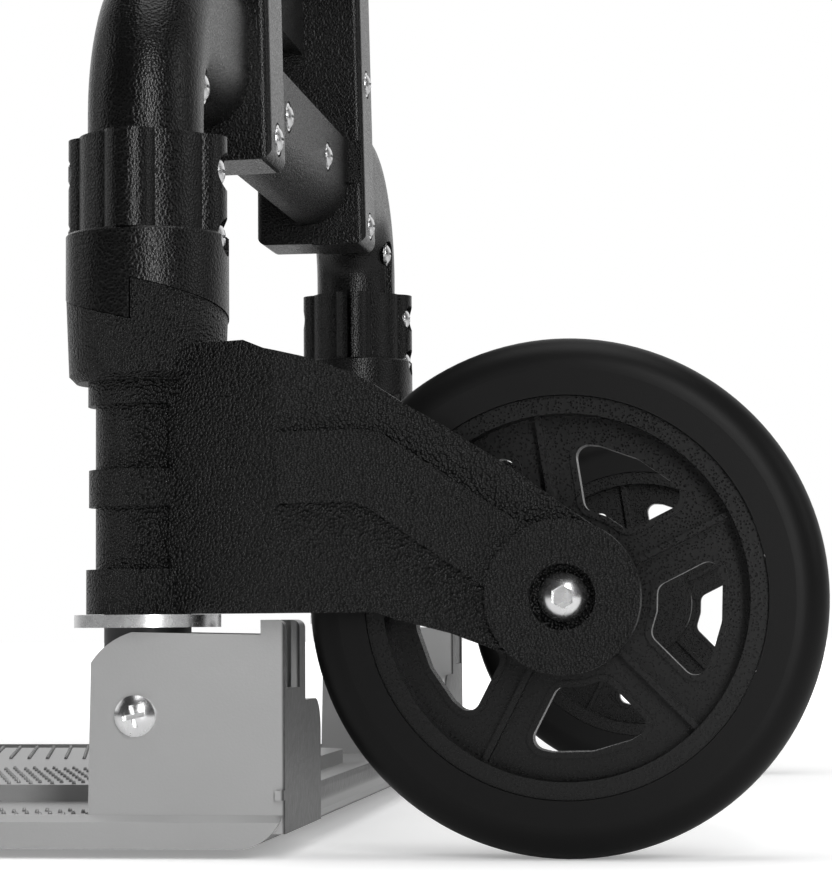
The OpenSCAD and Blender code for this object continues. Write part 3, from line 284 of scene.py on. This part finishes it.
finish_nodes(
    moulded_plastic("grained_plastic", tone=0.0035, grain=0.0004, gloss=0.28),
    "lower_crossbar", "centre_panel", "top_crossbar", *both("wheel_bracket"),
    *both("rail_bush"), *both("tube_collar"), "lower_tube_plugs", "upper_tube_plugs",
    "handle_front_shell", "handle_rear_shell", "release_button",
)
finish_nodes(
    moulded_plastic("smoother_plastic", tone=0.003, grain=0.00007, gloss=0.26),
    *both("front_shell"), *both("rear_shell"), *both("clamp_collar"), *both("cam_ring"),
)


# Wheels: a moulded rim and hub cap of almost smooth black plastic, with a tyre of matt black
# rubber moulded round the rim. The grip pads on the handle are of the same rubber.
finish_nodes(
    moulded_plastic("wheel_plastic", tone=0.003, grain=0.00001, gloss=0.3),
    *both("wheel_rim"), *both("hub_cap"),
)

rubber = Finish("tyre_rubber")
rubber_patch = rubber.noise(30, 4.0)
rubber_grit = rubber.noise(2600, 1.0)
finish_nodes(
    rubber.set(
        Base_Color=rubber.greys(rubber_patch, 0.0025, 0.0035),
        Roughness=0.4 + 0.1 * rubber_patch,
        Specular_IOR_Level=0.14,
        Normal=rubber.relief(rubber_grit, 0.6, 0.00003),
    ),
    *both("tyre"), "grip_pads",
)


# Toe plate: one casting of light alloy, satin on its sides and ears. The rear walls of the lugs,
# which lie behind rear_wall_y, get a lumpy rough-cast bump and a much darker colour, which is
# painted shade for the shade those walls stand in.
rear_wall_y = 0.0366
rear_wall_blend = 0.0007
alloy = Finish("toe_alloy")
alloy_patch = alloy.noise(22, 4.0)
alloy_grit = alloy.noise(1500, 3.0)
alloy_lump = alloy.noise(420, 3.0)
# Rear-wall mask: it carries both the real rough-cast lumps and the painted shade of the lugs'
# rear walls.
rear_wall_cast_and_shade = alloy.axes()[1].smooth(rear_wall_y, rear_wall_y + rear_wall_blend)
finish_nodes(
    alloy.set(
        Base_Color=alloy.colours(
            rear_wall_cast_and_shade, alloy.greys(alloy_patch, 0.38, 0.45), alloy.greys(alloy_lump, 0.03, 0.12),
        ),
        Metallic=0.7,
        Roughness=0.4 + 0.12 * alloy_patch - 0.1 * rear_wall_cast_and_shade,
        Normal=alloy.relief(alloy_grit + 5 * rear_wall_cast_and_shade * alloy_lump, 0.5, 0.00006),
    ),
    "toe_plate",
)


# Tread of the toe plate, cast in one with it: beads in slanting rows on the raised middle, and
# shorter rows in the channel along each side. Each bead is a small dome with eight sides.
deck_top = 0.0086
tread_top = 0.0132
tread_front = -0.205
tread_rear = -0.006
row_step = 0.0062
bead_step = Vector((-0.0053, 0.00127))
channel_x = 0.1625
channel_beads = 4
middle_x = 0.1045
middle_beads = 15
bead_radius = 0.00062
bead_height = 0.0011
bead_sides = 8
waist = 0.55
crest = 0.85


def dome_radius(share):
    return bead_radius * math.sqrt(1 - share * share)


tread = bmesh.new()
for row in range(int((tread_rear - tread_front) / row_step)):
    for side in (1, -1):
        for first_x, beads, base in (
            (channel_x, channel_beads, deck_top),
            (middle_x, middle_beads, tread_top),
        ):
            for step in range(beads):
                bmesh.ops.create_cone(
                    tread,
                    cap_ends=True,
                    segments=bead_sides,
                    radius1=bead_radius,
                    radius2=dome_radius(waist),
                    depth=bead_height * waist,
                    matrix=Matrix.Translation((
                        side * (first_x + step * bead_step.x),
                        tread_front + row * row_step + step * bead_step.y,
                        base + bead_height * waist / 2,
                    )),
                )
tread.normal_update()
bmesh.ops.inset_individual(
    tread,
    faces=[face for face in tread.faces if face.normal.z > 0.9],
    thickness=(dome_radius(waist) - dome_radius(crest)) * math.cos(math.pi / bead_sides),
    depth=bead_height * (crest - waist),
)
for face in tread.faces:
    face.smooth = True
tread_mesh = bpy.data.meshes.new("toe_tread")
tread.to_mesh(tread_mesh)
tread.free()
tread_mesh.materials.append(alloy.material)
toe_tread = bpy.data.objects.new("toe_tread", tread_mesh)
bpy.context.scene.collection.objects.link(toe_tread)
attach(toe_tread, "toe_plate")


# Screws, nuts, bolts, washers, snap buttons, springs and release rods: turned, pressed or wound
# from steel, with bright zinc plating that is a little cloudy.
zinc = Finish("zinc_plating")
zinc_patch = zinc.noise(300, 3.0)
zinc_scratch = zinc.noise(2500, 2.0)
finish_nodes(
    zinc.set(
        Base_Color=zinc.colours(zinc_patch, (0.68, 0.68, 0.69), (0.82, 0.82, 0.82)),
        Metallic=1.0,
        Roughness=0.18 + 0.16 * zinc_patch,
        Normal=zinc.relief(zinc_scratch, 0.3, 0.00002),
    ),
    "toe_pivot_screws", "toe_pivot_nuts", "shell_screws", "crossbar_screws", "collar_screws",
    "collar_nuts", *both("fold_spring"), *both("lift_washer"), *both("axle_bolt"),
    *both("axle_nut"), "release_rods", "button_spring", "lower_snap_buttons",
    "upper_snap_buttons",
)


# Spacers beside the posts, and the wheels' thrust washers and hub bushes: turned from natural
# nylon, which is off-white and slightly waxy.
nylon = Finish("natural_nylon")
nylon_patch = nylon.noise(180, 2.0)
finish_nodes(
    nylon.set(
        Base_Color=nylon.colours(nylon_patch, (0.7, 0.7, 0.66), (0.8, 0.8, 0.76)),
        Roughness=0.38 + 0.1 * nylon_patch,
    ),
    "toe_pivot_spacers", *both("thrust_washer"), *both("hub_bushes"),
)


# Posts: round steel tubes that carry the brackets and end in the toe plate's lugs, with satin
# black powder paint that has a faint orange peel.
paint = Finish("black_powder_paint")
paint_peel = paint.noise(700, 1.0)
paint_patch = paint.noise(40, 2.0)
finish_nodes(
    paint.set(
        Base_Color=paint.colours(paint_patch, (0.016, 0.016, 0.017), (0.022, 0.022, 0.023)),
        Roughness=0.4 + 0.1 * paint_patch,
        Normal=paint.relief(paint_peel, 0.5, 0.00005),
    ),
    *both("post"),
)


# Telescoping tubes: bright drawn steel, polished along their length, so that fine draw lines run
# up and down them.
line_stretch = 0.03
tube_metal = Finish("drawn_tube")
tube_x, tube_y, tube_z = tube_metal.axes()
stretched = tube_metal.add("ShaderNodeCombineXYZ", X=tube_x, Y=tube_y, Z=tube_z * line_stretch)
draw_lines = tube_metal.noise(1800, 2.0, where=stretched)
tube_patch = tube_metal.noise(14, 3.0)
finish_nodes(
    tube_metal.set(
        Base_Color=tube_metal.colours(tube_patch, (0.6, 0.6, 0.61), (0.7, 0.7, 0.71)),
        Metallic=1.0,
        Roughness=0.2 + 0.12 * draw_lines,
        Normal=tube_metal.relief(draw_lines, 0.3, 0.00002),
    ),
    *both("lower_tube"), *both("upper_tube"),
)
